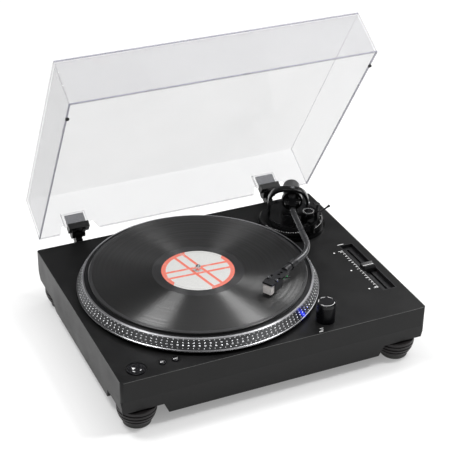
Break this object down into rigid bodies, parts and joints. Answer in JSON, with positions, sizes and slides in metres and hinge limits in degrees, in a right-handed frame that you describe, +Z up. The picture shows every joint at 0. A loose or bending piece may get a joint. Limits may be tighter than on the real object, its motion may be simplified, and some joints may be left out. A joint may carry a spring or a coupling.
{
  "type": "turntable record player",
  "caption": "Record player with a black plinth, ridged feet, round platter with a record, S-shaped tonearm and a clear hinged lid.",
  "frame": {"origin": "on the floor, under the centre of the plinth", "axes": "+X to the right, +Y to the back where the lid hinges are, +Z up"},
  "size_m": [0.44, 0.404, 0.4255],
  "materials": {
    "deck_black": "satin paint with a fine metallic flake",
    "base_black": "satin",
    "foot_plastic": "satin",
    "rubber_black": "matte",
    "machined_steel": "machined",
    "bronze": "plain",
    "board_green": "solder mask",
    "lamination": "plain",
    "winding": "enamelled wire",
    "board_black": "plain",
    "transformer_core": "varnished",
    "jack_metal": "plated",
    "gloss_black": "gloss",
    "satin_black": "satin",
    "lens_blue": "clear, lit",
    "platter_alloy": "machined",
    "magnet": "plain",
    "spindle_steel": "polished",
    "slipmat_felt": "felt",
    "vinyl": "gloss, grooved",
    "label_paper": "printed",
    "arm_alloy": "satin",
    "shell_alloy": "satin",
    "collar_alloy": "knurled",
    "stylus_plastic": "satin",
    "wire": "insulated",
    "weight_metal": "satin",
    "clear_lid": "clear plastic",
    "hinge_black": "satin"
  },
  "bodies": {
    "plinth": {"deck_shell": "deck_black", "base_shell": "base_black", "base_screws": "machined_steel", "foot_housings": "foot_plastic", "foot_pads": "rubber_black", "bearing_housing": "machined_steel", "bearing_sleeve": "bronze", "motor_board": "board_green", "stator_core": "lamination", "stator_coils": "winding", "main_board": "board_green", "board_parts": "board_black", "transformer": "transformer_core", "signal_jacks": "jack_metal", "ground_terminal": "jack_metal", "mains_inlet": "board_black", "pitch_bezel": "satin_black", "pitch_fader": "machined_steel", "button_switches": "board_black", "strobe_tower": "gloss_black", "strobe_lens": "lens_blue", "arm_flange": "satin_black", "hinge_brackets": "hinge_black"},
    "turning_platter": {"platter": "platter_alloy", "rotor_magnet": "magnet", "spindle": "spindle_steel", "slipmat": "slipmat_felt", "record": "vinyl", "record_label": "label_paper"},
    "start_stop": {"start_button": "gloss_black"},
    "speed_33": {"speed_33_button": "gloss_black"},
    "speed_45": {"speed_45_button": "gloss_black"},
    "power_cap": {"power_knob": "gloss_black"},
    "pitch_slider": {"pitch_cap": "satin_black"},
    "height_collar": {"height_ring": "satin_black"},
    "lock": {"lock_lever": "satin_black"},
    "arm_support": {"arm_base": "satin_black", "gimbal_yoke": "satin_black", "pivot_screws": "spindle_steel", "arm_rest": "satin_black"},
    "anti_skate": {"anti_skate_dial": "satin_black"},
    "cue": {"cue_lever": "satin_black"},
    "lift": {"lift_bar": "satin_black"},
    "clip": {"arm_clip": "satin_black"},
    "gimbal": {"gimbal_ring": "satin_black"},
    "tonearm": {"arm_block": "satin_black", "counterweight_shaft": "machined_steel", "arm_tube": "arm_alloy", "headshell": "shell_alloy", "finger_lift": "spindle_steel", "cartridge": "board_black", "stylus_holder": "stylus_plastic", "cartridge_screws": "spindle_steel", "cartridge_wires": "wire"},
    "weight": {"counterweight": "weight_metal"},
    "force": {"force_dial": "satin_black"},
    "collar": {"locking_collar": "collar_alloy"},
    "lid": {"lid_shell": "clear_lid", "lid_bumpers": "rubber_black", "hinge_arms": "hinge_black"}
  },
  "joints": [
    {"name": "platter_spin", "type": "hinge", "parent": "plinth", "child": "turning_platter", "pos_m": [-0.0422, -0.0015, 0.1], "axis": [0, 0, 1], "continuous": true},
    {"name": "start_stop_press", "type": "slide", "parent": "plinth", "child": "start_stop", "axis": [0, 0, -1], "range_m": [0, 0.0012], "stiffness_N_per_m": 700, "springref_m": -0.001},
    {"name": "speed_33_press", "type": "slide", "parent": "plinth", "child": "speed_33", "axis": [0, 0, -1], "range_m": [0, 0.0012], "stiffness_N_per_m": 500, "springref_m": -0.001},
    {"name": "speed_45_press", "type": "slide", "parent": "plinth", "child": "speed_45", "axis": [0, 0, -1], "range_m": [0, 0.0012], "stiffness_N_per_m": 500, "springref_m": -0.001},
    {"name": "power_turn", "type": "hinge", "parent": "plinth", "child": "power_cap", "pos_m": [0.08, -0.147, 0.1], "axis": [0, 0, 1], "range_deg": [0, 30]},
    {"name": "pitch_slide", "type": "slide", "parent": "plinth", "child": "pitch_slider", "axis": [0, 1, 0], "range_m": [-0.05, 0.05]},
    {"name": "height_adjust", "type": "slide", "parent": "plinth", "child": "arm_support", "axis": [0, 0, -1], "range_m": [-0.006, 0]},
    {"name": "height_ring_turn", "type": "hinge", "parent": "plinth", "child": "height_collar", "pos_m": [0.1504, 0.0957, 0.09], "axis": [0, 0, 1], "range_deg": [-360, 0]},
    {"name": "lock_turn", "type": "hinge", "parent": "plinth", "child": "lock", "pos_m": [0.16476, 0.14931, 0.09], "axis": [0, 0, -1], "range_deg": [0, 40]},
    {"name": "tonearm_swing", "type": "hinge", "parent": "arm_support", "child": "gimbal", "pos_m": [0.1504, 0.0957, 0.125], "axis": [0, 0, 1], "range_deg": [-18.5, 25]},
    {"name": "tonearm_lift", "type": "hinge", "parent": "gimbal", "child": "tonearm", "pos_m": [0.1504, 0.0957, 0.125], "axis": [-0.9063, 0.4226, 0], "range_deg": [0, 3]},
    {"name": "anti_skate_turn", "type": "hinge", "parent": "arm_support", "child": "anti_skate", "pos_m": [0.16448, 0.06921, 0.11], "axis": [0, 0, 1], "range_deg": [0, 270]},
    {"name": "cue_lever_turn", "type": "hinge", "parent": "arm_support", "child": "cue", "pos_m": [0.1803, 0.07476, 0.104], "axis": [0.1736, -0.9848, 0], "range_deg": [0, 50]},
    {"name": "lift_rise", "type": "slide", "parent": "arm_support", "child": "lift", "axis": [0, 0, 1], "range_m": [0, 0.00175]},
    {"name": "arm_clip_turn", "type": "hinge", "parent": "arm_support", "child": "clip", "pos_m": [0.16181, 0.03933, 0.1315], "axis": [-0.1908, 0.9816, 0], "range_deg": [-100, 0]},
    {"name": "counterweight_turn", "type": "hinge", "parent": "tonearm", "child": "weight", "pos_m": [0.16308, 0.12289, 0.125], "axis": [0.4226, 0.9063, 0], "range_deg": [-360, 360]},
    {"name": "force_dial_turn", "type": "hinge", "parent": "tonearm", "child": "force", "pos_m": [0.15674, 0.10929, 0.125], "axis": [0.4226, 0.9063, 0], "range_deg": [-180, 180]},
    {"name": "collar_turn", "type": "hinge", "parent": "tonearm", "child": "collar", "pos_m": [0.06989, -0.06586, 0.125], "axis": [-0.8616, -0.5075, 0], "range_deg": [0, 30]},
    {"name": "lid_hinge", "type": "hinge", "parent": "plinth", "child": "lid", "pos_m": [0, 0.1841, 0.09], "axis": [1, 0, 0], "range_deg": [-5, 58.4]}
  ],
  "couplings": [
    {"joint": "height_adjust", "follows": "height_ring_turn", "m_per_rad": 0.00095},
    {"joint": "lift_rise", "follows": "cue_lever_turn", "m_per_rad": 0.002005},
    {"joint": "tonearm_lift", "follows": "cue_lever_turn", "ratio": 0.06}
  ]
}
